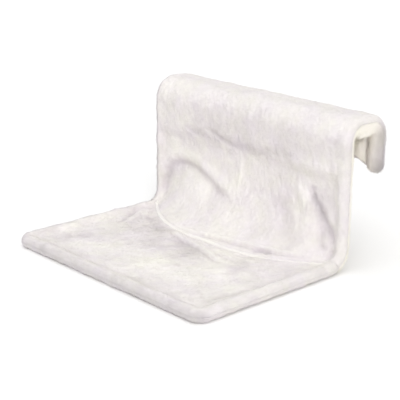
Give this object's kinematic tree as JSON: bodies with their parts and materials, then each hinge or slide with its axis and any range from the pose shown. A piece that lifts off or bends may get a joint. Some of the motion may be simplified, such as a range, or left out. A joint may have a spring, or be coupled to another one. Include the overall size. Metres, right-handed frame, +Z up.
{
  "type": "radiator cat bed",
  "caption": "Plush cat bed on a bent steel tube frame whose rear hook hangs over a radiator; a hinged flap closes the cover inside the hook.",
  "frame": {"origin": "on the floor, under the middle of the part's box", "axes": "+X across the bed to the right as seen from the front, +Y to the rear towards the radiator, +Z up"},
  "size_m": [0.46, 0.41, 0.25],
  "materials": {
    "white_plush": "short shiny pile",
    "plush_lining": "short matt pile",
    "wadding": "loose fibre",
    "frame_steel": "powder coated",
    "zinc_fasteners": "zinc plated",
    "tip_cap": "moulded",
    "fastening_tape": "woven tape"
  },
  "bodies": {
    "bed": {"seat_top_plush": "white_plush", "seat_base_plush": "white_plush", "back_front_plush": "white_plush", "back_lining_plush": "plush_lining", "seat_wadding": "wadding", "back_wadding": "wadding", "heel_seam_piping": "white_plush", "lining_loop_strip": "fastening_tape", "flap_seam_tape": "fastening_tape", "seat_front_tube": "frame_steel", "left_heel_tube": "frame_steel", "right_heel_tube": "frame_steel", "left_hook_tube": "frame_steel", "right_hook_tube": "frame_steel", "back_cross_tube": "frame_steel", "top_cross_tube": "frame_steel", "left_tip_cap": "tip_cap", "right_tip_cap": "tip_cap", "left_seat_joint_screw": "zinc_fasteners", "right_seat_joint_screw": "zinc_fasteners", "left_upright_joint_screw": "zinc_fasteners", "right_upright_joint_screw": "zinc_fasteners", "left_back_cross_bolt": "zinc_fasteners", "right_back_cross_bolt": "zinc_fasteners", "left_top_cross_bolt": "zinc_fasteners", "right_top_cross_bolt": "zinc_fasteners", "left_back_cross_insert": "zinc_fasteners", "right_back_cross_insert": "zinc_fasteners", "left_top_cross_insert": "zinc_fasteners", "right_top_cross_insert": "zinc_fasteners"},
    "flap": {"closure_flap": "plush_lining", "flap_hook_strip": "fastening_tape"}
  },
  "joints": [
    {"name": "closure_flap_hinge", "type": "hinge", "parent": "bed", "child": "flap", "pos_m": [0, 0.1881, 0.1567], "axis": [1, 0, 0], "range_deg": [0, 165]}
  ]
}
